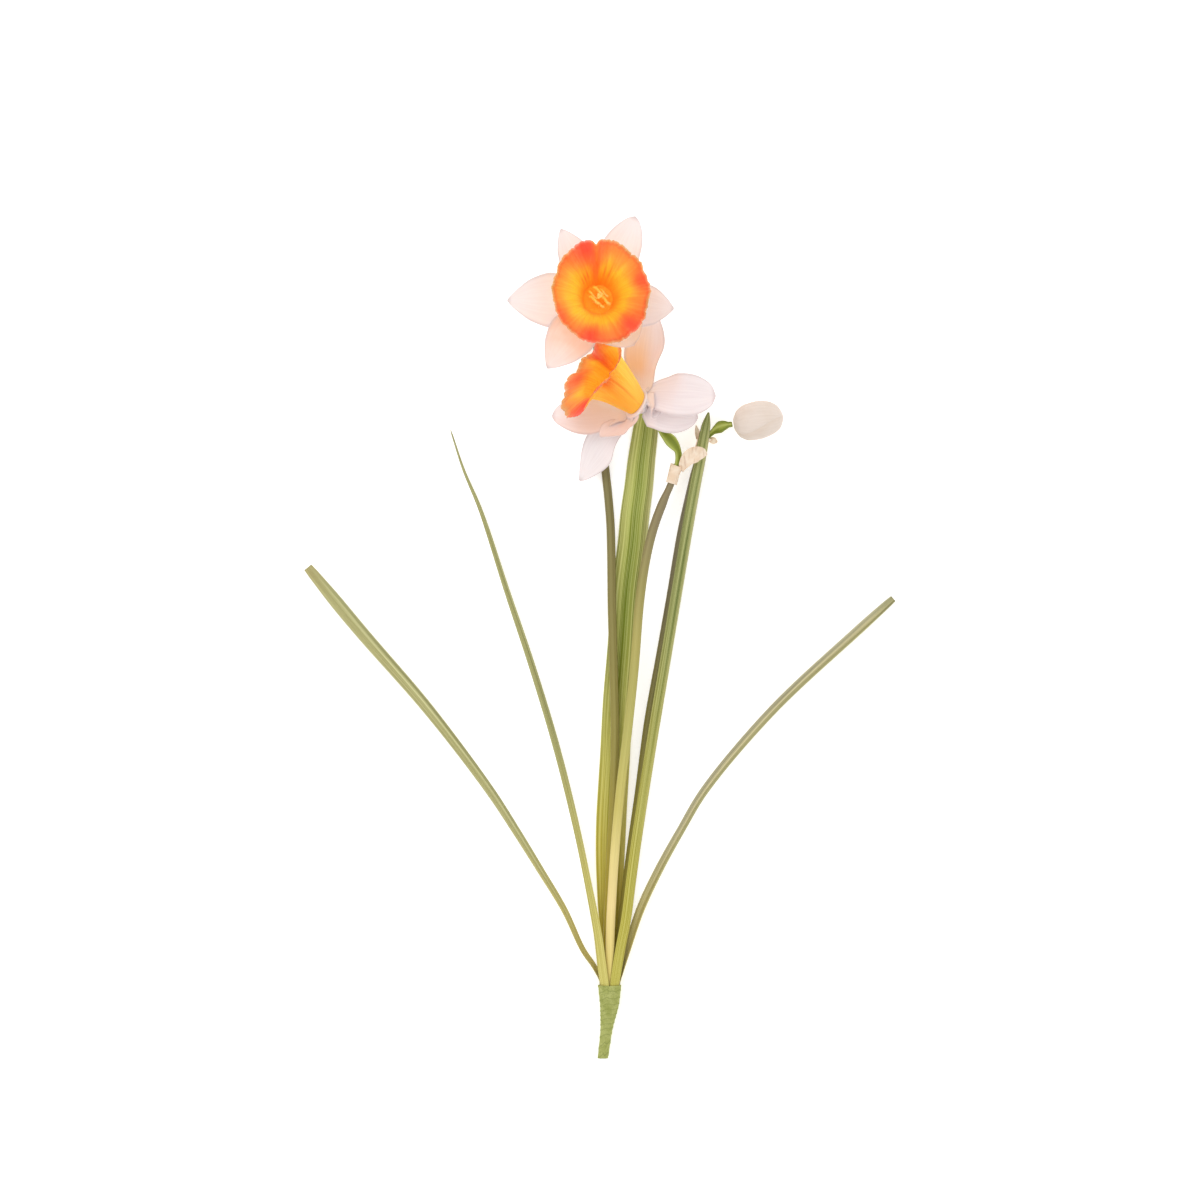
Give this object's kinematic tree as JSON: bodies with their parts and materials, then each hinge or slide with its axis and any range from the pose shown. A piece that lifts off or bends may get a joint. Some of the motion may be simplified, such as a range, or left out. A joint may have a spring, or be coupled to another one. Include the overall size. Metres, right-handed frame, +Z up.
{
  "type": "narcissus flower spray",
  "caption": "Artificial narcissus spray lying flat: open white blooms with orange coronas, a bud, strap leaves and wired stems bound at the foot with florist tape.",
  "frame": {"origin": "on the surface that the spray lies on, under the middle of its bounding box", "axes": "+Y from the taped foot to the blooms, +X to the right seen from above, +Z up from the surface"},
  "size_m": [0.3133, 0.4426, 0.0851],
  "materials": {
    "florist_tape": "crepe florist tape, waxed, sage green",
    "stem_core": "moulded plastic, dull",
    "stem_olive": "wired stem in olive-brown tape, matt",
    "stem_cream": "wired stem, olive at the top and cream below, matt",
    "leaf_striped": "striped strap leaf, satin",
    "leaf_dark": "dark strap leaf with pale stripes, satin",
    "leaf_broad": "broad strap leaf with lengthwise ribs, satin",
    "petal_white": "pressed polyester petals, matt pinkish white",
    "corona_orange": "pressed polyester, gold throat and orange-red rim",
    "stamen_gold": "moulded plastic, dusty gold",
    "ovary_green": "moulded plastic, waxy green",
    "spathe_paper": "papery sheath, cream, dry and wrinkled",
    "bud_cream": "wrapped polyester petals, matt cream"
  },
  "bodies": {
    "root": {"florist_tape": "florist_tape", "stem_core": "stem_core", "stem_left": "stem_olive", "stem_middle": "stem_cream", "stem_right": "stem_olive", "leaf_far_left": "leaf_striped", "leaf_left": "leaf_striped", "leaf_far_right": "leaf_striped", "leaf_right": "leaf_dark", "leaf_broad": "leaf_broad", "bloom_top_perianth": "petal_white", "bloom_lower_perianth": "petal_white", "bloom_top_corona": "corona_orange", "bloom_lower_corona": "corona_orange", "bloom_top_stamens": "stamen_gold", "bloom_lower_stamens": "stamen_gold", "bloom_top_ovary": "ovary_green", "bloom_lower_ovary": "ovary_green", "bud_ovary": "ovary_green", "spathe_top": "spathe_paper", "spathe_lower": "spathe_paper", "spathe_bud": "spathe_paper", "bud_petals": "bud_cream"}
  },
  "joints": []
}
